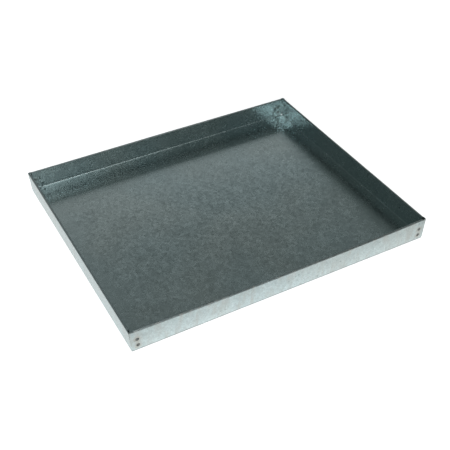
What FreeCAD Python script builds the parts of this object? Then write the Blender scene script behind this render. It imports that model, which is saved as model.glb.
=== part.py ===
import FreeCAD, Part
import math
import os

# A shallow rectangular drain pan folded from one blank of galvanised sheet steel.
# Millimetres, +Z up.  The origin is the middle of the underside, the long sides run
# along X, and the front wall faces -Y.  All four walls end in an open hem folded
# inwards.  End tabs on the left and right walls are bent round the corners, lie flat
# on the inner faces of the front and back walls, and are spot-welded there.

# Overall size, measured over the outer faces at the rim
LENGTH = 600.0
WIDTH = 500.0
HEIGHT = 44.0

# Sheet and folds
SHEET = 1.0
BEND_INNER_R = 1.0
BEND_OUTER_R = BEND_INNER_R + SHEET
HEM_GAP = 2.0
HEM_OUTER_R = SHEET + HEM_GAP / 2
HEM_DEPTH = 15.0
SIDE_LEAN = 3.3
LONG_LEAN = 0.0

# Corners
BARE_RIM_DROP = 0.4
RIM_CORNER_R = 1.5
LAP_SETBACK = 0.5
BUTT_GAP = 0.2
HEM_NOTCH = 7.0
TAB_CLEARANCE = 0.8
TAB_FOOT_WIDTH = 24.0
TAB_TOP_WIDTH = 17.0

# Spot welds, two in each corner
WELD_R = 3.25
WELD_INSET = 12.5
WELD_HEIGHTS = {"lower": 11.0, "upper": 24.0}
DIMPLE_R = 2.6
DIMPLE_DEPTH = 0.15

HALF_LENGTH = LENGTH / 2
HALF_WIDTH = WIDTH / 2
HEM_EDGE_Z = HEIGHT - HEM_DEPTH
BARE_RIM_Z = HEIGHT - BARE_RIM_DROP
TAB_FOOT_Z = BEND_OUTER_R + TAB_CLEARANCE
TAB_TOP_Z = HEM_EDGE_Z - TAB_CLEARANCE


def lean_direction(lean):
    """Unit vector up a wall that leans outwards, as (outward, up)."""
    angle = math.radians(lean)
    return math.sin(angle), math.cos(angle)


def face_offset(lean, height, reach):
    """Distance from the middle to a wall's outer face at a height."""
    return reach - (BARE_RIM_Z - height) * math.tan(math.radians(lean))


def bend_centre(lean, reach):
    """Distance from the middle to the axis of the bend between floor and wall."""
    bend_face = BEND_OUTER_R / math.cos(math.radians(lean))
    return face_offset(lean, BEND_OUTER_R, reach) - bend_face


def polar(centre, radius, degrees):
    """Point on a circle in the plane across a wall."""
    angle = math.radians(degrees)
    return centre[0] + radius * math.cos(angle), centre[1] + radius * math.sin(angle)


def fold_centre(lean, reach):
    """Axis of a hem's fold, in the plane across a wall."""
    height = HEIGHT - HEM_OUTER_R
    return face_offset(lean, height, reach) - HEM_OUTER_R / math.cos(math.radians(lean)), height


def hem_top(lean, reach):
    """Top of a wall's section where it is hemmed, from its outer to its inner face."""
    fold = fold_centre(lean, reach)
    out, up = lean_direction(lean)
    hem_run = (fold[1] - HEM_EDGE_Z) / up
    fold_inner_r = HEM_GAP / 2
    hem_back = polar(fold, HEM_OUTER_R, 180 - lean)
    hem_front = polar(fold, fold_inner_r, 180 - lean)
    hem_back_end = (hem_back[0] - hem_run * out, hem_back[1] - hem_run * up)
    hem_front_end = (hem_front[0] - hem_run * out, hem_front[1] - hem_run * up)
    return [
        ("line", polar(fold, HEM_OUTER_R, -lean)),
        ("arc", polar(fold, HEM_OUTER_R, 90 - lean), hem_back),
        ("line", hem_back_end),
        ("line", hem_front_end),
        ("line", hem_front),
        ("arc", polar(fold, fold_inner_r, 90 - lean), polar(fold, fold_inner_r, -lean)),
    ]


def bare_top(lean, reach):
    """Top of a wall's section beyond the ends of its hem, cut off level."""
    fold = fold_centre(lean, reach)
    outer = face_offset(lean, BARE_RIM_Z, reach)
    inner = outer - SHEET / math.cos(math.radians(lean))
    return [
        ("line", polar(fold, HEM_OUTER_R, -lean)),
        ("line", (outer, BARE_RIM_Z)),
        ("line", (inner, BARE_RIM_Z)),
        ("line", polar(fold, HEM_GAP / 2, -lean)),
    ]


def wall_outline(lean, reach, top):
    """Section of the floor bend and the wall under a given top, as lines and arcs."""
    bend = (bend_centre(lean, reach), BEND_OUTER_R)
    return [
        ("line", (bend[0], 0.0)),
        ("arc", polar(bend, BEND_OUTER_R, -45 - lean / 2), polar(bend, BEND_OUTER_R, -lean)),
        *top,
        ("line", polar(bend, BEND_INNER_R, -lean)),
        ("arc", polar(bend, BEND_INNER_R, -45 - lean / 2), (bend[0], SHEET)),
        ("line", (bend[0], 0.0)),
    ]


def outline_face(outline, place):
    """Planar face from an outline, with place() turning each pair into a vector."""
    edges = []
    here = outline[0][1]
    for piece in outline[1:]:
        end = piece[-1]
        if piece[0] == "line":
            edges.append(Part.LineSegment(place(*here), place(*end)).toShape())
        else:
            edges.append(Part.Arc(place(*here), place(*piece[1]), place(*end)).toShape())
        here = end
    return Part.Face(Part.Wire(edges))


def polygon_prism(points, direction):
    """Solid swept from a closed polygon."""
    return Part.Face(Part.makePolygon(points + [points[0]])).extrude(direction)


def side_wall():
    """Right wall: hemmed along most of its length, with bare ends inside the long walls."""
    hem_end = HALF_WIDTH - HEM_NOTCH
    tab_bend = HALF_WIDTH - SHEET - BEND_OUTER_R
    rim_reach = HALF_WIDTH - SHEET - BUTT_GAP
    hemmed = wall_outline(SIDE_LEAN, HALF_LENGTH, hem_top(SIDE_LEAN, HALF_LENGTH))
    bare = wall_outline(SIDE_LEAN, HALF_LENGTH, bare_top(SIDE_LEAN, HALF_LENGTH))
    face = outline_face(hemmed, lambda u, v: FreeCAD.Vector(u, -hem_end, v))
    wall = face.extrude(FreeCAD.Vector(0, 2 * hem_end, 0))
    face = outline_face(bare, lambda u, v: FreeCAD.Vector(u, hem_end, v))
    bare_end = face.extrude(FreeCAD.Vector(0, rim_reach - hem_end, 0))
    elevation = [
        (hem_end, 0.0),
        (tab_bend, 0.0),
        (tab_bend, TAB_TOP_Z),
        (rim_reach, TAB_TOP_Z + TAB_CLEARANCE / 2),
        (rim_reach, HEIGHT),
        (hem_end, HEIGHT),
    ]
    start_x = HALF_LENGTH / 2
    points = [FreeCAD.Vector(start_x, y, z) for y, z in elevation]
    bare_end = bare_end.common(polygon_prism(points, FreeCAD.Vector(LENGTH, 0, 0)))
    return [wall, bare_end, mirrored(bare_end, FreeCAD.Vector(0, 1, 0))]


def long_wall():
    """Back wall: hemmed, with bare ends that reach over the corner bends."""
    hem_end = HALF_LENGTH - HEM_NOTCH
    hemmed = wall_outline(LONG_LEAN, HALF_WIDTH, hem_top(LONG_LEAN, HALF_WIDTH))
    bare = wall_outline(LONG_LEAN, HALF_WIDTH, bare_top(LONG_LEAN, HALF_WIDTH))
    face = outline_face(hemmed, lambda u, v: FreeCAD.Vector(-hem_end, u, v))
    wall = face.extrude(FreeCAD.Vector(2 * hem_end, 0, 0))
    face = outline_face(bare, lambda u, v: FreeCAD.Vector(hem_end, u, v))
    bare_end = face.extrude(FreeCAD.Vector(HEM_NOTCH, 0, 0))
    floor_reach = bend_centre(SIDE_LEAN, HALF_LENGTH)
    foot = face_offset(SIDE_LEAN, BEND_OUTER_R, HALF_LENGTH) - LAP_SETBACK
    round_z = BARE_RIM_Z - RIM_CORNER_R
    shoulder = face_offset(SIDE_LEAN, round_z, HALF_LENGTH) - LAP_SETBACK
    round_centre = (shoulder - RIM_CORNER_R / math.cos(math.radians(SIDE_LEAN)), round_z)
    elevation = [
        ("line", (hem_end, 0.0)),
        ("line", (floor_reach, 0.0)),
        ("line", (floor_reach, BEND_OUTER_R)),
        ("line", (foot, BEND_OUTER_R)),
        ("line", polar(round_centre, RIM_CORNER_R, -SIDE_LEAN)),
        ("arc", polar(round_centre, RIM_CORNER_R, 45 - SIDE_LEAN / 2), (round_centre[0], BARE_RIM_Z)),
        ("line", (hem_end, BARE_RIM_Z)),
        ("line", (hem_end, 0.0)),
    ]
    start_y = HALF_WIDTH / 2
    trim = outline_face(elevation, lambda u, v: FreeCAD.Vector(u, start_y, v))
    bare_end = bare_end.common(trim.extrude(FreeCAD.Vector(0, WIDTH, 0)))
    return [wall, bare_end, mirrored(bare_end, FreeCAD.Vector(1, 0, 0))]


def corner_block(inset):
    """Block whose right end follows the side wall and whose back is the tab's face."""
    slant = inset / math.cos(math.radians(SIDE_LEAN))
    low_x = face_offset(SIDE_LEAN, 0.0, HALF_LENGTH) - slant
    high_x = face_offset(SIDE_LEAN, HEIGHT, HALF_LENGTH) - slant
    back_y = HALF_WIDTH - SHEET - inset
    section = [(0.0, 0.0), (low_x, 0.0), (high_x, HEIGHT), (0.0, HEIGHT)]
    points = [FreeCAD.Vector(x, 0, z) for x, z in section]
    block = polygon_prism(points, FreeCAD.Vector(0, back_y, 0))
    corner = [edge for edge in block.Edges if is_corner_edge(edge, low_x, back_y)]
    return block.makeFillet(BEND_OUTER_R - inset, corner)


def is_corner_edge(edge, low_x, back_y):
    """True for the upright edge at the right end of the back face."""
    middle = edge.CenterOfMass
    return middle.y > back_y - SHEET / 2 and middle.x > low_x - SHEET and middle.z > SHEET


def tab():
    """Back right tab: the side wall's end bent round the corner onto the back wall."""
    skin = corner_block(0.0).cut(corner_block(SHEET))
    edge_x = face_offset(SIDE_LEAN, 0.0, HALF_LENGTH)
    outline = [
        (edge_x - TAB_FOOT_WIDTH, TAB_FOOT_Z),
        (LENGTH, TAB_FOOT_Z),
        (LENGTH, TAB_TOP_Z),
        (edge_x - TAB_TOP_WIDTH, TAB_TOP_Z),
    ]
    low_y = HALF_WIDTH - SHEET - BEND_OUTER_R
    points = [FreeCAD.Vector(x, low_y, z) for x, z in outline]
    return skin.common(polygon_prism(points, FreeCAD.Vector(0, WIDTH, 0)))


def mirrored(shape, normal):
    """Mirror image through the origin."""
    return shape.mirror(FreeCAD.Vector(0, 0, 0), normal)


def pan_sheet():
    """The folded blank: floor, four walls and four corner tabs, with weld seats."""
    x_normal = FreeCAD.Vector(1, 0, 0)
    y_normal = FreeCAD.Vector(0, 1, 0)
    floor_x = bend_centre(SIDE_LEAN, HALF_LENGTH)
    floor_y = bend_centre(LONG_LEAN, HALF_WIDTH)
    corner = FreeCAD.Vector(-floor_x, -floor_y, 0)
    sheet = Part.makeBox(2 * floor_x, 2 * floor_y, SHEET, corner)
    back_right_tab = tab()
    front_right_tab = mirrored(back_right_tab, y_normal)
    tabs = [back_right_tab, front_right_tab]
    tabs += [mirrored(one, x_normal) for one in tabs]
    walls = side_wall() + [mirrored(one, x_normal) for one in side_wall()]
    walls += long_wall() + [mirrored(one, y_normal) for one in long_wall()]
    sheet = sheet.multiFuse(walls + tabs).removeSplitter()
    for centre, outward in weld_places().values():
        start = centre + outward * SHEET
        seat = Part.makeCylinder(WELD_R, 4 * SHEET, start, outward * -1)
        sheet = sheet.cut(seat)
    return sheet


def weld_places():
    """Each weld's name, the point on the wall's outer face and that face's normal."""
    places = {}
    for end, outward_y in (("front", -1), ("back", 1)):
        for hand, outward_x in (("left", -1), ("right", 1)):
            for level, height in WELD_HEIGHTS.items():
                edge_x = face_offset(SIDE_LEAN, height, HALF_LENGTH)
                centre = FreeCAD.Vector(outward_x * (edge_x - WELD_INSET), outward_y * HALF_WIDTH, height)
                places[f"weld_{end}_{hand}_{level}"] = (centre, FreeCAD.Vector(0, outward_y, 0))
    return places


def spot_weld(centre, outward):
    """Nugget through the wall and the tab, dished at both faces by the electrodes."""
    thickness = 2 * SHEET
    section = [
        (0.0, DIMPLE_DEPTH),
        (DIMPLE_R, DIMPLE_DEPTH),
        (WELD_R, 0.0),
        (WELD_R, thickness),
        (DIMPLE_R, thickness - DIMPLE_DEPTH),
        (0.0, thickness - DIMPLE_DEPTH),
    ]
    points = [FreeCAD.Vector(r, depth, 0) for r, depth in section]
    face = Part.Face(Part.makePolygon(points + [points[0]]))
    nugget = face.revolve(FreeCAD.Vector(0, 0, 0), FreeCAD.Vector(0, 1, 0), 360)
    inward = FreeCAD.Rotation(FreeCAD.Vector(0, 1, 0), outward * -1)
    nugget.Placement = FreeCAD.Placement(centre, inward)
    return nugget


def export(shape, node):
    """Write one node's STEP file and print its facts."""
    shape.exportStep(f"parts/{node}.step")
    box = shape.BoundBox
    size = f"{box.XLength:.1f} x {box.YLength:.1f} x {box.ZLength:.1f}"
    state = f"{len(shape.Solids)} solid, valid {shape.isValid()}, {shape.Volume:.1f} mm3"
    print(node, size, state)


def main():
    os.makedirs("parts", exist_ok=True)
    export(pan_sheet(), "pan_sheet")
    for node, (centre, outward) in weld_places().items():
        export(spot_weld(centre, outward), node)


main()
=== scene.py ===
import math

import bmesh
import bpy
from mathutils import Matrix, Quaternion, Vector, noise


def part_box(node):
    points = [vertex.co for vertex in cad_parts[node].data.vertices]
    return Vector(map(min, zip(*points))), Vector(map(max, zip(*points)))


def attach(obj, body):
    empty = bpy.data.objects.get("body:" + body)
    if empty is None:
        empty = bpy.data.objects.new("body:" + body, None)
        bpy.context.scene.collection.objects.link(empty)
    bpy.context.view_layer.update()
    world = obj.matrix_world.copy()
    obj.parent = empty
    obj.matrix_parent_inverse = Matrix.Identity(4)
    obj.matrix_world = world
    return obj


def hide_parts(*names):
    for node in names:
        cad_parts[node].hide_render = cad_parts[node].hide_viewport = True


# A galvanised-steel drain pan on a white studio floor.  Metres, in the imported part's frame.

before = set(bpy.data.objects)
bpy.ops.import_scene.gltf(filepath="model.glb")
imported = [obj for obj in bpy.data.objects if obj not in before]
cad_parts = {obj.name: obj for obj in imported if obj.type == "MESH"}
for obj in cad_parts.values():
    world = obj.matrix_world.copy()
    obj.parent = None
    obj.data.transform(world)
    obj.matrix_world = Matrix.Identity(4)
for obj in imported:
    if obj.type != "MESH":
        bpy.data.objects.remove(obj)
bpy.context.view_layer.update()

MM = 0.001

# Camera
CAMERA_AZIMUTH = math.radians(-28.75)
CAMERA_ELEVATION = math.radians(39.25)
CAMERA_DISTANCE = 1.583
CAMERA_TARGET = Vector((-0.0091, -0.03805, 0.0))
CAMERA_ROLL = math.radians(-0.11)
SENSOR_WIDTH = 36.0
FOCAL_LENGTH = 65.88
NEAREST_SEEN = 0.05
FARTHEST_SEEN = 60.0

# The ideal pan.  The long walls are the front and back ones, and a foot is an edge of the flat underside.
PAN_LOW, PAN_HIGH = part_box("pan_sheet")
HALF_X = PAN_HIGH.x
HALF_Y = PAN_HIGH.y
RIM_Z = PAN_HIGH.z
SHEET = 1 * MM
SIDE_SLOPE = math.tan(math.radians(3.3))
SIDE_FOOT = HALF_X - 4.5 * MM
LONG_FOOT = HALF_Y - 2 * MM
BEND_HEIGHT = 2.8 * MM
WELD_NODES = sorted(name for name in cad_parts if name.startswith("weld_"))

# How the real sheet differs from the ideal one
RIM_BOW = 4.1 * MM
RIM_BOW_POWER = 1.3
WALL_RIPPLE = 0.22 * MM
SLOW_WAVES = 7.0
QUICK_WAVES = 17.0
LONG_WALL_SEED = 2.0
SIDE_WALL_SEED = 9.0
END_FADE = 0.2
FLOOR_CROWN = 0.45 * MM
CROWN_WAVES = 5.0
CROWN_SEED = 2.5
CROWN_EVEN = 0.55
BACK_SAG = 1.2 * MM
BACK_BEND = 2 * MM
SPRING_RISE = 0.6 * MM
SPRING_REACH = 8 * MM
CUT_EDGE_ROUND = 0.14 * MM

# Where the floor's flexing gives way to a wall's, measured in from the rim
WALL_BLEND_START = 12 * MM
LONG_BLEND_END = 3 * MM
SIDE_BLEND_END = 6 * MM

# How finely the sheet is divided
GRID_STEP = 20 * MM
HEIGHT_STEP = 4 * MM
BEND_GAPS = tuple(gap * MM for gap in (1, 2.5, 4.5, 7, 10, 14, 19, 26))
TINY = 1e-6
FLAT_ANGLE = math.radians(0.02)
SHARP_ANGLE = math.radians(32)
CUT_EDGE_ANGLE = math.radians(50)
CUT_EDGE_SEGMENTS = 2


# Shape

def smooth(edge0, edge1, value):
    """Smooth step from 0 at edge0 to 1 at edge1."""
    t = min(1.0, max(0.0, (value - edge0) / (edge1 - edge0)))
    return t * t * (3 - 2 * t)


def ripple(along, seed):
    """Slow sideways waver of a folded wall, between about -1 and 1."""
    slow = noise.noise(Vector((along * SLOW_WAVES, seed, 0.5)))
    quick = noise.noise(Vector((along * QUICK_WAVES, seed, 4.5)))
    return slow + 0.5 * quick


def flexed(point):
    """Where a point of the ideal pan lies on the real, slightly sprung one."""
    x, y, z = point
    rise = z / RIM_Z
    span_x = max(0.0, 1 - (x / HALF_X) ** 2)
    span_y = max(0.0, 1 - (y / HALF_Y) ** 2)
    near_front = smooth(HALF_Y - WALL_BLEND_START, HALF_Y - LONG_BLEND_END, -y)
    near_back = smooth(HALF_Y - WALL_BLEND_START, HALF_Y - LONG_BLEND_END, y)
    near_side = smooth(HALF_X - WALL_BLEND_START, HALF_X - SIDE_BLEND_END, abs(x))

    # The front rim bows out, and all four walls waver.
    end_fade_x = smooth(0.0, END_FADE, span_x)
    end_fade_y = smooth(0.0, END_FADE, span_y)
    moved_y = -near_front * span_x * rise ** RIM_BOW_POWER * RIM_BOW
    moved_y += (near_front + near_back) * end_fade_x * rise * WALL_RIPPLE * ripple(x, LONG_WALL_SEED + y)
    moved_x = near_side * end_fade_y * rise * WALL_RIPPLE * ripple(y, SIDE_WALL_SEED + x)

    # The floor is crowned, it springs up beside the bends, and the back rim dips towards the left.
    inside = (1 - near_front - near_back) * (1 - near_side)
    crown = noise.noise(Vector((x * CROWN_WAVES, y * CROWN_WAVES, CROWN_SEED)))
    crown = FLOOR_CROWN * (CROWN_EVEN + (1 - CROWN_EVEN) * crown)
    moved_z = max(0.0, inside) * math.sqrt(span_x * span_y) * crown
    spring_x = math.exp(-max(0.0, SIDE_FOOT - abs(x)) / SPRING_REACH)
    spring_y = math.exp(-max(0.0, LONG_FOOT - abs(y)) / SPRING_REACH)
    moved_z += (spring_x + spring_y - spring_x * spring_y) * SPRING_RISE
    moved_z -= smooth(LONG_FOOT - BACK_BEND, LONG_FOOT, y) * rise * smooth(0.0, HALF_X, -x) * BACK_SAG
    return Vector((x + moved_x, y + moved_y, z + moved_z))


def steps(low, high, step):
    """Evenly spaced values strictly between low and high."""
    count = max(1, round((high - low) / step))
    return [low + (high - low) * i / count for i in range(1, count)]


def by_walls(foot):
    """Closer places for the cuts beside the two walls that stand at +foot and -foot."""
    return [side * (foot - gap) for side in (-1, 1) for gap in BEND_GAPS]


def divide(mesh, axis, places):
    """Cuts the mesh across an axis at each place."""
    normal = Vector((0, 0, 0))
    normal[axis] = 1
    for place in places:
        geometry = mesh.verts[:] + mesh.edges[:] + mesh.faces[:]
        bmesh.ops.bisect_plane(mesh, geom=geometry, dist=TINY, plane_co=normal * place, plane_no=normal)


def placed(name, data):
    """A new object in the scene."""
    thing = bpy.data.objects.new(name, data)
    bpy.context.scene.collection.objects.link(thing)
    return thing


def finished(mesh, name, sharp_angle):
    """A smooth-shaded object made from an edited mesh, with the edges past an angle kept sharp."""
    data = bpy.data.meshes.new(name)
    mesh.to_mesh(data)
    mesh.free()
    thing = placed(name, data)
    data.shade_smooth()
    data.set_sharp_from_angle(angle=sharp_angle)
    return thing


def pan_skin():
    """The folded sheet with the shape of its CAD node, divided finely and sprung a little."""
    mesh = bmesh.new()
    mesh.from_mesh(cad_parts["pan_sheet"].data)
    bmesh.ops.remove_doubles(mesh, verts=mesh.verts, dist=TINY)
    bmesh.ops.dissolve_limit(mesh, angle_limit=FLAT_ANGLE, verts=mesh.verts, edges=mesh.edges)
    divide(mesh, 0, steps(-HALF_X, HALF_X, GRID_STEP) + by_walls(SIDE_FOOT))
    divide(mesh, 1, steps(-HALF_Y, HALF_Y, GRID_STEP) + by_walls(LONG_FOOT))
    divide(mesh, 2, steps(HEIGHT_STEP / 2, RIM_Z, HEIGHT_STEP) + [BEND_HEIGHT, RIM_Z - BEND_HEIGHT])
    for vertex in mesh.verts:
        vertex.co = flexed(vertex.co)
    skin = finished(mesh, "pan_skin", SHARP_ANGLE)
    edge = skin.modifiers.new("cut edges", "BEVEL")
    edge.width = CUT_EDGE_ROUND
    edge.segments = CUT_EDGE_SEGMENTS
    edge.limit_method = "ANGLE"
    edge.angle_limit = CUT_EDGE_ANGLE
    edge.use_clamp_overlap = True
    edge.harden_normals = False
    return skin


# Weld marks

WELD_RINGS = 14
WELD_SECTORS = 48
WELD_EDGE_ANGLE = math.radians(50)
WELD_SEED_STEP = 10.0
DISH_DEPTH = 0.24 * MM
LIP_HEIGHT = 0.07 * MM
PIP_HEIGHT = 0.06 * MM
PIT_DEPTH = 0.05 * MM
PIT_WAVES = 4.4

# Shares of the weld's radius
DISH_FLAT = 0.35
DISH_EDGE = 0.86
LIP_CREST = 0.93
LIP_SPREAD = 0.06
PIP_SPREAD = 0.22


def weld_depth(share, seed, angle):
    """How far a spot weld's face lies under the sheet's face, at a share of its radius."""
    dish = DISH_DEPTH * (1 - smooth(DISH_FLAT, DISH_EDGE, share))
    lip = LIP_HEIGHT * math.exp(-((share - LIP_CREST) / LIP_SPREAD) ** 2)
    pip = PIP_HEIGHT * math.exp(-(share / PIP_SPREAD) ** 2)
    reach = share * PIT_WAVES
    spot = Vector((reach * math.cos(angle), reach * math.sin(angle), 2 * seed))
    return dish - lip - pip + PIT_DEPTH * noise.noise(spot) * (1 - share)


def weld_face(mesh, node, side, seed):
    """Rings of vertices over one face of a weld, from its middle outwards.  The first ring is one vertex."""
    low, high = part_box(node)
    centre = (low + high) / 2
    radius = (high.x - low.x) / 2
    half_depth = (high.y - low.y) / 2
    rings = []
    for ring in range(WELD_RINGS + 1):
        share = ring / WELD_RINGS
        vertices = []
        for sector in range(WELD_SECTORS if ring else 1):
            angle = 2 * math.pi * sector / WELD_SECTORS
            x = centre.x + radius * share * math.cos(angle)
            y = centre.y + side * (half_depth - weld_depth(share, seed + side, angle))
            z = centre.z + radius * share * math.sin(angle)
            vertices.append(mesh.verts.new(flexed(Vector((x, y, z)))))
        rings.append(vertices)
    return rings


def join_rings(mesh, inner, outer):
    """Faces between two rings of vertices, or between one vertex and a ring round it."""
    for sector in range(WELD_SECTORS):
        following = (sector + 1) % WELD_SECTORS
        corners = [inner[sector % len(inner)], outer[sector], outer[following]]
        if len(inner) > 1:
            corners.append(inner[following])
        mesh.faces.new(corners)


def weld_mark(node, seed):
    """A weld nugget with a dished, slightly uneven face on each side of the lapped sheets."""
    mesh = bmesh.new()
    near = weld_face(mesh, node, -1, seed)
    far = weld_face(mesh, node, 1, seed)
    for rings in (near, far):
        for inner, outer in zip(rings, rings[1:]):
            join_rings(mesh, inner, outer)
    join_rings(mesh, near[-1], far[-1])
    bmesh.ops.recalc_face_normals(mesh, faces=mesh.faces)
    return finished(mesh, node + "_mark", WELD_EDGE_ANGLE)


# Materials.  Scales count cells or waves per metre, and pairs are where a mask starts and is full.

HALVES = (0.5, 0.5, 0.5)
NOISE_MIDDLE = (0.3, 0.7)
GRAIN_HEIGHT = 0.2 * MM


class Nodes:
    """Short calls for building a node tree."""

    def __init__(self, tree):
        self.tree = tree
        tree.nodes.clear()

    def add(self, kind, inputs=None, **settings):
        """A new node with its settings and its sockets filled in."""
        node = self.tree.nodes.new(kind)
        for name, value in settings.items():
            setattr(node, name, value)
        for name, value in (inputs or {}).items():
            self.put(node.inputs[name], value)
        return node

    def put(self, socket, value):
        """Links a socket to another node's output, or sets it to a constant."""
        if isinstance(value, bpy.types.NodeSocket):
            self.tree.links.new(value, socket)
        else:
            socket.default_value = value

    def math(self, operation, a, b=0.0):
        node = self.add("ShaderNodeMath", operation=operation)
        self.put(node.inputs[0], a)
        self.put(node.inputs[1], b)
        return node.outputs[0]

    def vector(self, operation, a, b=(0, 0, 0)):
        node = self.add("ShaderNodeVectorMath", operation=operation)
        self.put(node.inputs[0], a)
        self.put(node.inputs[1], b)
        return node.outputs["Value"] if operation in ("LENGTH", "DOT_PRODUCT") else node.outputs["Vector"]

    def scaled(self, vector, factor):
        node = self.add("ShaderNodeVectorMath", operation="SCALE")
        self.put(node.inputs[0], vector)
        self.put(node.inputs["Scale"], factor)
        return node.outputs["Vector"]

    def ramp(self, value, low, high, to_low=0.0, to_high=1.0, smooth_steps=False):
        """A value carried over from one range to another, and held inside it."""
        kind = "SMOOTHSTEP" if smooth_steps else "LINEAR"
        node = self.add("ShaderNodeMapRange", interpolation_type=kind, clamp=True)
        self.put(node.inputs["Value"], value)
        self.put(node.inputs["From Min"], low)
        self.put(node.inputs["From Max"], high)
        self.put(node.inputs["To Min"], to_low)
        self.put(node.inputs["To Max"], to_high)
        return node.outputs["Result"]

    def sway(self, value, amount, low=0.0, high=1.0):
        """A value turned into a change of up to amount either way."""
        return self.ramp(value, low, high, -amount, amount)

    def mix(self, factor, a, b):
        node = self.add("ShaderNodeMix", data_type="RGBA")
        self.put(node.inputs["Factor"], factor)
        self.put(node.inputs["A"], a)
        self.put(node.inputs["B"], b)
        return node.outputs["Result"]

    def noise(self, where, scale, detail=2.0, roughness=0.5):
        node = self.add("ShaderNodeTexNoise", {"Scale": scale, "Detail": detail, "Roughness": roughness})
        self.put(node.inputs["Vector"], where)
        return node.outputs

    def cells(self, where, scale):
        node = self.add("ShaderNodeTexVoronoi", {"Scale": scale})
        self.put(node.inputs["Vector"], where)
        return node.outputs


def new_material(name):
    """An empty material, its node tree, and the place on the object, whole and split into X, Y and Z."""
    material = bpy.data.materials.new(name)
    material.use_nodes = True
    net = Nodes(material.node_tree)
    place = net.add("ShaderNodeTexCoord").outputs["Object"]
    split = net.add("ShaderNodeSeparateXYZ", {"Vector": place}).outputs
    return material, net, place, split


def grain_normal(net, grain, strength):
    """Surface direction of finely rough metal."""
    inputs = {"Strength": strength, "Distance": GRAIN_HEIGHT, "Height": grain}
    return net.add("ShaderNodeBump", inputs).outputs["Normal"]


def bare_metal(net, color, roughness, normal):
    """Ends a material in a metal surface, and returns its shader node."""
    inputs = {"Metallic": 1.0, "Base Color": color, "Roughness": roughness, "Normal": normal}
    surface = net.add("ShaderNodeBsdfPrincipled", inputs)
    net.add("ShaderNodeOutputMaterial", {"Surface": surface.outputs["BSDF"]})
    return surface


# Galvanised steel: spangle

SMALL_SPANGLES = 420.0
LARGE_SPANGLES = 165.0
WANDER_SCALE = 90.0
WANDER = 6 * MM
SMALL_CONTRAST = 0.085
LARGE_CONTRAST = 0.05
SMALL_TILT = 0.018
LARGE_TILT = 0.012
CLOUD_SCALE = 16.0
CLOUD_CONTRAST = 0.035
WALL_CALM = 0.3
CALM_MARGIN = (30 * MM, 45 * MM)

# Galvanised steel: colour
ZINC_COOL = (0.42, 0.49, 0.495, 1.0)
ZINC_WARM = (0.435, 0.49, 0.485, 1.0)
HAZE_SCALE = 5.0
HAZE_EDGE = (0.42, 0.6)
# On the outer faces the zinc is lighter near the foot and darker towards the rim.
OUTSIDE_HEIGHTS = (6 * MM, 36 * MM)
OUTSIDE_TONES = (0.96, 0.85)
FOLD_START = RIM_Z + SPRING_RISE - BEND_HEIGHT
FOLD_EDGE = (FOLD_START, FOLD_START + 1.2 * MM)
FOLD_DARK = 0.4
EDGE_TINT = (0.78, 0.8, 0.8, 1.0)

# Galvanised steel: marks
STAIN_COLOR = (0.33, 0.325, 0.30, 1.0)
STAIN_AMOUNT = 0.45
STAIN_SCALE = 75.0
STAIN_STRETCH = (1.0, 1.0, 0.3)
STAIN_EDGE = (0.48, 0.68)
SPECK_COLOR = (0.10, 0.15, 0.155, 1.0)
SPECK_AMOUNT = 0.65
SPECK_SCALE = 130.0
SPECK_PICK = (0.82, 0.86)
SPECK_SIZE = (0.16, 0.26)
SPECK_ZONE_SCALE = 9.0
SPECK_ZONE = (0.45, 0.62)
SCRATCH_COLOR = (0.86, 0.9, 0.88, 1.0)
SCRATCH_AMOUNT = 0.55
SCRATCH_HEIGHTS = (1.8 * MM, 2.6 * MM)
SCRATCH_SETS = ((29.0, 3.0, 7.0), (18.0, 11.0, 5.5))
SCRATCH_STRETCH = (26.0, 700.0, 26.0)
SCRATCH_BEND = 6.0
SCRATCH_BEND_SCALE = 22.0
SCRATCH_EDGE = (0.79, 0.86)
SCRATCH_ZONE = (0.5, 0.62)
SCORCH_COLOR = (0.33, 0.30, 0.255, 1.0)
SCORCH_AMOUNT = 0.5
SCORCH_INSIDE = 0.4
SCORCH_RADII = (3.2 * MM, 9.0 * MM)
SCORCH_PATCH_SCALE = 260.0
SCORCH_WANDER = 1.5 * MM

# Galvanised steel: roughness
ZINC_ROUGHNESS = (0.225, 0.27)
ROUGHNESS_CHANGE = 0.015
SCORCH_ROUGHNESS = 0.12
FOLD_ROUGHNESS = 0.22
ZINC_GRAIN_SCALE = 2600.0
ZINC_GRAIN = 0.04


def spangles(net, place):
    """A random colour for each zinc crystal, once for small crystals and once for large ones."""
    shift = net.vector("SUBTRACT", net.noise(place, WANDER_SCALE)["Color"], HALVES)
    warped = net.vector("ADD", place, net.vector("MULTIPLY", shift, (WANDER,) * 3))
    return net.cells(warped, SMALL_SPANGLES)["Color"], net.cells(warped, LARGE_SPANGLES)["Color"]


def inner_faces(net, x, y, z):
    """1 on the floor and on the walls' inner faces, 0 on their outer faces."""
    lean = net.math("MULTIPLY", z, SIDE_SLOPE)
    mid_sheet = net.math("ADD", lean, HALF_X - RIM_Z * SIDE_SLOPE - SHEET / 2)
    between_sides = net.math("LESS_THAN", x, mid_sheet)
    return net.math("MULTIPLY", net.math("LESS_THAN", y, HALF_Y - SHEET / 2), between_sides)


def spangle_strength(net, x, y, inside):
    """1 on most of the sheet, less on the walls' inner faces and on the floor beside them."""
    gap = net.math("MINIMUM", net.math("SUBTRACT", SIDE_FOOT, x), net.math("SUBTRACT", LONG_FOOT, y))
    margin = net.ramp(gap, *CALM_MARGIN, 1.0, 0.0, smooth_steps=True)
    return net.ramp(net.math("MULTIPLY", inside, margin), 0.0, 1.0, 1.0, WALL_CALM)


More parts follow.
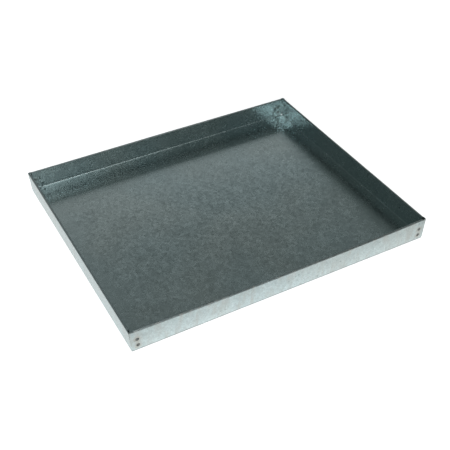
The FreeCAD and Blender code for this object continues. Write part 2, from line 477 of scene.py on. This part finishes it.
def stain_mask(net, place, inside):
    """Upright streaks on the outer faces."""
    stretched = net.vector("MULTIPLY", place, STAIN_STRETCH)
    streaks = net.noise(stretched, STAIN_SCALE, detail=3.0, roughness=0.6)["Fac"]
    return net.math("MULTIPLY", net.ramp(streaks, *STAIN_EDGE), net.math("SUBTRACT", 1.0, inside))


def speck_mask(net, place):
    """Small dark specks that keep to loose patches."""
    cells = net.cells(place, SPECK_SCALE)
    pick = net.ramp(net.vector("DOT_PRODUCT", cells["Color"], (0.0, 0.0, 1.0)), *SPECK_PICK)
    shape = net.ramp(cells["Distance"], *SPECK_SIZE, 1.0, 0.0)
    zone = net.ramp(net.noise(place, SPECK_ZONE_SCALE, detail=1.0)["Fac"], *SPECK_ZONE)
    return net.math("MULTIPLY", net.math("MULTIPLY", pick, shape), zone)


def scratch_mask(net, place, z):
    """Sparse short scratches in two directions on the floor, where things were slid across it."""
    masks = []
    for turn, seed, zone_scale in SCRATCH_SETS:
        node = net.add("ShaderNodeMapping", {"Vector": place})
        node.inputs["Rotation"].default_value = (0.0, 0.0, math.radians(turn))
        node.inputs["Location"].default_value = (seed, seed * 0.7, 0.0)
        turned = node.outputs["Vector"]
        bend = net.noise(place, SCRATCH_BEND_SCALE, detail=1.0)["Color"]
        stretch = net.vector("MULTIPLY", turned, SCRATCH_STRETCH)
        stretch = net.vector("ADD", stretch, net.vector("MULTIPLY", bend, (0.0, SCRATCH_BEND, 0.0)))
        line = net.ramp(net.noise(stretch, 1.0, detail=0.0)["Fac"], *SCRATCH_EDGE)
        zone = net.ramp(net.noise(turned, zone_scale, detail=1.0)["Fac"], *SCRATCH_ZONE)
        masks.append(net.math("MULTIPLY", line, zone))
    on_floor = net.ramp(z, *SCRATCH_HEIGHTS, 1.0, 0.0)
    return net.math("MULTIPLY", net.math("MAXIMUM", *masks), on_floor)


def scorch_mask(net, place, inside):
    """Heat tint round the spot welds, worked out for one corner and the same in all four."""
    folded = net.vector("ABSOLUTE", place)
    patchy = net.noise(place, SCORCH_PATCH_SCALE)["Fac"]
    total = 0.0
    for node in WELD_NODES:
        if not node.startswith("weld_back_right"):
            continue
        low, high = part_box(node)
        away = net.vector("LENGTH", net.vector("SUBTRACT", folded, tuple((low + high) / 2)))
        away = net.math("ADD", away, net.sway(patchy, SCORCH_WANDER, *NOISE_MIDDLE))
        total = net.math("MAXIMUM", net.ramp(away, *SCORCH_RADII, 1.0, 0.0, smooth_steps=True), total)
    return net.math("MULTIPLY", total, net.ramp(inside, 0.0, 1.0, 1.0, SCORCH_INSIDE))


def galvanised_steel():
    """Zinc coating: two sizes of spangle, haze, a dull rim fold, streaks, specks, scratches and scorch."""
    material, net, place, split = new_material("galvanised_steel")
    x = net.math("ABSOLUTE", split["X"])
    y = net.math("ABSOLUTE", split["Y"])
    z = split["Z"]
    small, large = spangles(net, place)
    small_value = net.vector("DOT_PRODUCT", small, (1.0, 0.0, 0.0))
    large_value = net.vector("DOT_PRODUCT", large, (0.0, 1.0, 0.0))
    cloud = net.noise(place, CLOUD_SCALE, detail=3.0, roughness=0.6)["Fac"]
    haze = net.noise(place, HAZE_SCALE)["Fac"]
    inside = inner_faces(net, x, y, z)
    calm = spangle_strength(net, x, y, inside)
    fold = net.ramp(z, *FOLD_EDGE, smooth_steps=True)
    scorch = scorch_mask(net, place, inside)

    tone = net.sway(small_value, SMALL_CONTRAST)
    tone = net.math("ADD", tone, net.sway(large_value, LARGE_CONTRAST))
    tone = net.math("ADD", tone, net.sway(cloud, CLOUD_CONTRAST, *NOISE_MIDDLE))
    # Outer faces lighter near the foot and darker towards the rim.
    level = net.math("MAXIMUM", net.ramp(z, *OUTSIDE_HEIGHTS, *OUTSIDE_TONES), inside)
    tone = net.math("ADD", net.math("MULTIPLY", tone, calm), level)
    tone = net.math("SUBTRACT", tone, net.math("MULTIPLY", fold, FOLD_DARK))

    base = net.scaled(net.mix(net.ramp(haze, *HAZE_EDGE), ZINC_COOL, ZINC_WARM), tone)
    base = net.mix(net.math("MULTIPLY", stain_mask(net, place, inside), STAIN_AMOUNT), base, STAIN_COLOR)
    base = net.mix(net.math("MULTIPLY", speck_mask(net, place), SPECK_AMOUNT), base, SPECK_COLOR)
    base = net.mix(net.math("MULTIPLY", scratch_mask(net, place, z), SCRATCH_AMOUNT), base, SCRATCH_COLOR)
    base = net.mix(net.math("MULTIPLY", scorch, SCORCH_AMOUNT), base, SCORCH_COLOR)

    rough = net.ramp(large_value, 0.0, 1.0, *ZINC_ROUGHNESS)
    rough = net.math("ADD", rough, net.sway(small_value, ROUGHNESS_CHANGE))
    rough = net.math("ADD", rough, net.sway(cloud, ROUGHNESS_CHANGE, *NOISE_MIDDLE))
    rough = net.math("ADD", rough, net.math("MULTIPLY", scorch, SCORCH_ROUGHNESS))
    rough = net.math("ADD", rough, net.math("MULTIPLY", fold, FOLD_ROUGHNESS))

    tilt_small = net.vector("MULTIPLY", net.vector("SUBTRACT", small, HALVES), (SMALL_TILT,) * 3)
    tilt_large = net.vector("MULTIPLY", net.vector("SUBTRACT", large, HALVES), (LARGE_TILT,) * 3)
    facet = net.scaled(net.vector("ADD", tilt_small, tilt_large), calm)
    grain = net.noise(place, ZINC_GRAIN_SCALE, roughness=0.6)["Fac"]
    bump = grain_normal(net, grain, ZINC_GRAIN)
    normal = net.vector("NORMALIZE", net.vector("ADD", bump, facet))

    surface = bare_metal(net, base, rough, normal)
    surface.inputs["Specular Tint"].default_value = EDGE_TINT
    return material


# Weld metal

WELD_DARK = (0.045, 0.055, 0.058, 1.0)
WELD_LIGHT = (0.2, 0.21, 0.2, 1.0)
WELD_BROWN = (0.16, 0.11, 0.075, 1.0)
# Painted highlight: the paler colour laid over the welds' inner faces.
WELD_INNER_HIGHLIGHT = (0.36, 0.40, 0.40, 1.0)
BLOTCH_SCALE = 420.0
BLOTCH_EDGE = (0.35, 0.68)
BROWN_EDGE = (0.55, 0.75)
BROWN_AMOUNT = 0.6
INNER_EDGE = (HALF_Y - 1.2 * SHEET, HALF_Y - 0.8 * SHEET)
INNER_HIGHLIGHT_AMOUNT = 0.6
WELD_ROUGHNESS = (0.38, 0.6)
WELD_GRAIN_SCALE = 2400.0
WELD_GRAIN = 0.35


def weld_metal():
    """Scorched, pitted steel of a spot weld, with a painted highlight that makes it paler on the inner
    faces.
    """
    material, net, place, split = new_material("weld_mark")
    blotch = net.noise(place, BLOTCH_SCALE, detail=3.0, roughness=0.6)["Fac"]
    grain = net.noise(place, WELD_GRAIN_SCALE, detail=3.0, roughness=0.65)["Fac"]
    color = net.mix(net.ramp(blotch, *BLOTCH_EDGE), WELD_DARK, WELD_LIGHT)
    color = net.mix(net.ramp(grain, *BROWN_EDGE, 0.0, BROWN_AMOUNT), color, WELD_BROWN)
    # Painted highlight: the inner faces are made paler, like the bright corners round them.
    inner = net.ramp(net.math("ABSOLUTE", split["Y"]), *INNER_EDGE, 1.0, 0.0)
    color = net.mix(net.math("MULTIPLY", inner, INNER_HIGHLIGHT_AMOUNT), color, WELD_INNER_HIGHLIGHT)
    rough = net.ramp(blotch, *NOISE_MIDDLE, *WELD_ROUGHNESS)
    bare_metal(net, color, rough, grain_normal(net, grain, WELD_GRAIN))
    return material


# Studio floor

FLOOR_HALF = 9.0
FLOOR_GAP = 0.2 * MM
FLOOR_COLOR = (0.75, 0.75, 0.75, 1.0)
FLOOR_ROUGHNESS = 0.9
FLOOR_SHEEN = 0.1

# Glow of the floor, by how far it is from the pan's foot
# Painted contact shadow: the glow starts and is full at these distances from the pan's foot.
CONTACT_SHADOW = (0.6 * MM, 2.4 * MM)
GLOW_NEAR = 0.88
GLOW_AROUND = 0.68
GLOW_FAR = 1.0
AROUND_REACH = (5 * MM, 60 * MM)
FAR_REACH = (70 * MM, 160 * MM)
GLOW_RIGHT = 0.9
RIGHT_REACH = (-0.16, 0.3)


def beyond(net, coordinate, foot):
    """How far a place lies outside the pan's foot along one axis, or 0 inside it."""
    return net.math("MAXIMUM", net.math("SUBTRACT", net.math("ABSOLUTE", coordinate), foot), 0.0)


def studio_white():
    """Matt white that glows of itself, except in a thin painted contact shadow round the pan's foot."""
    material, net, _, split = new_material("studio_white")
    beside = beyond(net, split["X"], SIDE_FOOT)
    before = beyond(net, split["Y"], LONG_FOOT)
    away = net.math("ADD", net.math("MULTIPLY", beside, beside), net.math("MULTIPLY", before, before))
    away = net.math("SQRT", away)
    near = net.ramp(away, *AROUND_REACH, GLOW_NEAR, GLOW_AROUND, smooth_steps=True)
    near = net.math("MULTIPLY", near, net.ramp(split["X"], *RIGHT_REACH, 1.0, GLOW_RIGHT))
    far = net.ramp(away, *FAR_REACH, smooth_steps=True)
    level = net.math("ADD", near, net.math("MULTIPLY", far, net.math("SUBTRACT", GLOW_FAR, near)))
    # Painted contact shadow: no glow right at the pan's foot.
    glow = net.math("MULTIPLY", net.ramp(away, *CONTACT_SHADOW, smooth_steps=True), level)
    inputs = {"Base Color": FLOOR_COLOR, "Roughness": FLOOR_ROUGHNESS}
    surface = net.add("ShaderNodeBsdfPrincipled", inputs)
    surface.inputs["Specular IOR Level"].default_value = FLOOR_SHEEN
    surface.inputs["Emission Color"].default_value = (1.0, 1.0, 1.0, 1.0)
    net.put(surface.inputs["Emission Strength"], glow)
    net.add("ShaderNodeOutputMaterial", {"Surface": surface.outputs["BSDF"]})
    return material


def studio_floor():
    """A wide plain floor under the pan."""
    data = bpy.data.meshes.new("studio_floor")
    corners = [(-1, -1), (1, -1), (1, 1), (-1, 1)]
    height = PAN_LOW.z - FLOOR_GAP
    data.from_pydata([(x * FLOOR_HALF, y * FLOOR_HALF, height) for x, y in corners], [], [(0, 1, 2, 3)])
    floor = placed("studio_floor", data)
    data.materials.append(studio_white())


# Camera and light.  Azimuths and elevations are seen from the pan, and azimuth 0 is in front of it.

KEY_AZIMUTH = math.radians(-26)
KEY_ELEVATION = math.radians(54)
KEY_DISTANCE = 3.0
KEY_SIZE = 2.6
KEY_POWER = 44.0

# The backdrop's edges are distances across and up it, in units of its distance from the pan.
BACKDROP_AZIMUTH = math.radians(5)
BACKDROP_AHEAD = (0.02, 0.05)
BACKDROP_LEFT = (-0.85, -0.65)
BACKDROP_RIGHT = (1.05, 1.35)
BACKDROP_TOP = (0.685, 0.795)
BACKDROP_SHADE = (-0.4, 0.2)
BACKDROP_TONE = (0.53, 0.575, 0.585, 1.0)
BACKDROP_RIGHT_TONE = (0.72, 0.765, 0.775, 1.0)

# The room is lighter round one place, and the widths are in degrees.
ROOM_TONE = (0.095, 0.132, 0.132, 1.0)
ROOM_LIGHT_TONE = (0.158, 0.18, 0.176, 1.0)
ROOM_LIGHT_AZIMUTH = 125.0
ROOM_LIGHT_ELEVATION = 50.0
ROOM_LIGHT_WIDTH = (30.0, 75.0)
ROOM_LIGHT_BASE = (33.0, 43.0)

# Small lamps: azimuth, elevation, width of the full glow and of its edge in degrees, and brightness
LAMPS = (
    (-37.0, 36.0, 3.0, 7.0, 12.0),
    (24.0, 61.0, 6.0, 13.0, 3.5),
)


def direction(azimuth, elevation):
    """Unit vector from the pan towards a place in the studio."""
    flat = math.cos(elevation)
    return Vector((math.sin(azimuth) * flat, -math.cos(azimuth) * flat, math.sin(elevation)))


def camera():
    """The camera, at the distance and angle from which the pan is looked at."""
    data = bpy.data.cameras.new("camera")
    data.sensor_width = SENSOR_WIDTH
    data.lens = FOCAL_LENGTH
    data.clip_start = NEAREST_SEEN
    data.clip_end = FARTHEST_SEEN
    viewer = placed("camera", data)
    back = direction(CAMERA_AZIMUTH, CAMERA_ELEVATION)
    viewer.location = CAMERA_TARGET + back * CAMERA_DISTANCE
    upright = (-back).to_track_quat("-Z", "Y")
    viewer.rotation_mode = "QUATERNION"
    viewer.rotation_quaternion = Quaternion(back, CAMERA_ROLL) @ upright
    bpy.context.scene.camera = viewer


def key_light():
    """A large round soft light, in front of the pan and to its left."""
    data = bpy.data.lights.new("key", "AREA")
    data.shape = "DISK"
    data.size = KEY_SIZE
    data.energy = KEY_POWER
    lamp = placed("key", data)
    away = direction(KEY_AZIMUTH, KEY_ELEVATION)
    lamp.location = away * KEY_DISTANCE
    lamp.rotation_euler = (-away).to_track_quat("-Z", "Y").to_euler()


def angle_from(net, heading, azimuth, elevation):
    """Angle in degrees between a heading and a place in the studio."""
    centre = tuple(direction(math.radians(azimuth), math.radians(elevation)))
    return net.math("DEGREES", net.math("ARCCOSINE", net.vector("DOT_PRODUCT", heading, centre)))


def room_color(net, heading, up):
    """A dim room, a little lighter behind the pan to the right."""
    away = angle_from(net, heading, ROOM_LIGHT_AZIMUTH, ROOM_LIGHT_ELEVATION)
    lit = net.ramp(away, *ROOM_LIGHT_WIDTH, 1.0, 0.0, smooth_steps=True)
    rise = net.math("DEGREES", net.math("ARCSINE", up))
    lit = net.math("MULTIPLY", lit, net.ramp(rise, *ROOM_LIGHT_BASE, smooth_steps=True))
    return net.mix(lit, ROOM_TONE, ROOM_LIGHT_TONE)


def with_backdrop(net, color, heading, up):
    """A pale flat panel behind the pan, laid over the room."""
    ahead = net.vector("DOT_PRODUCT", heading, tuple(direction(math.pi - BACKDROP_AZIMUTH, 0)))
    across = net.vector("DOT_PRODUCT", heading, tuple(direction(math.pi / 2 - BACKDROP_AZIMUTH, 0)))
    facing = net.ramp(ahead, *BACKDROP_AHEAD)
    ahead = net.math("MAXIMUM", ahead, BACKDROP_AHEAD[1])
    across = net.math("DIVIDE", across, ahead)
    above = net.math("DIVIDE", up, ahead)
    under_top = net.ramp(above, *BACKDROP_TOP, 1.0, 0.0, smooth_steps=True)
    past_left = net.ramp(across, *BACKDROP_LEFT, smooth_steps=True)
    before_right = net.ramp(across, *BACKDROP_RIGHT, 1.0, 0.0, smooth_steps=True)
    panel = net.math("MULTIPLY", under_top, facing)
    panel = net.math("MULTIPLY", panel, net.math("MULTIPLY", past_left, before_right))
    backdrop = net.mix(net.ramp(across, *BACKDROP_SHADE), BACKDROP_TONE, BACKDROP_RIGHT_TONE)
    return net.mix(panel, color, backdrop)


def with_lamps(net, color, heading):
    """Small round lamps, laid over the rest."""
    for azimuth, elevation, core, edge, tone in LAMPS:
        away = angle_from(net, heading, azimuth, elevation)
        glow = net.ramp(away, core, edge, 1.0, 0.0, smooth_steps=True)
        color = net.mix(glow, color, (tone, tone, tone, 1.0))
    return color


def studio_sky():
    """What the steel mirrors: a dim room, a pale backdrop that rises behind the pan, and small lamps."""
    world = bpy.data.worlds.new("studio_sky")
    bpy.context.scene.world = world
    world.use_nodes = True
    net = Nodes(world.node_tree)
    heading = net.add("ShaderNodeTexCoord").outputs["Generated"]
    up = net.add("ShaderNodeSeparateXYZ", {"Vector": heading}).outputs["Z"]
    color = room_color(net, heading, up)
    color = with_backdrop(net, color, heading, up)
    color = with_lamps(net, color, heading)
    shade = net.add("ShaderNodeBackground", {"Color": color, "Strength": 1.0})
    net.add("ShaderNodeOutputWorld", {"Surface": shade.outputs["Background"]})


# The whole scene

def coat(thing, material):
    """Gives an object one material."""
    thing.data.materials.clear()
    thing.data.materials.append(material)


def dress(piece, material):
    """Gives a piece its material and its body."""
    coat(piece, material)
    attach(piece, "root")


def main():
    bpy.context.scene.view_settings.view_transform = "Standard"
    camera()
    studio_floor()
    studio_sky()
    key_light()
    steel = galvanised_steel()
    scorched = weld_metal()
    skin = pan_skin()
    dress(skin, steel)
    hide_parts("pan_sheet")
    coat(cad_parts["pan_sheet"], steel)
    for index, node in enumerate(WELD_NODES):
        mark = weld_mark(node, WELD_SEED_STEP * index)
        dress(mark, scorched)
        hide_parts(node)
        coat(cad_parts[node], scorched)


main()
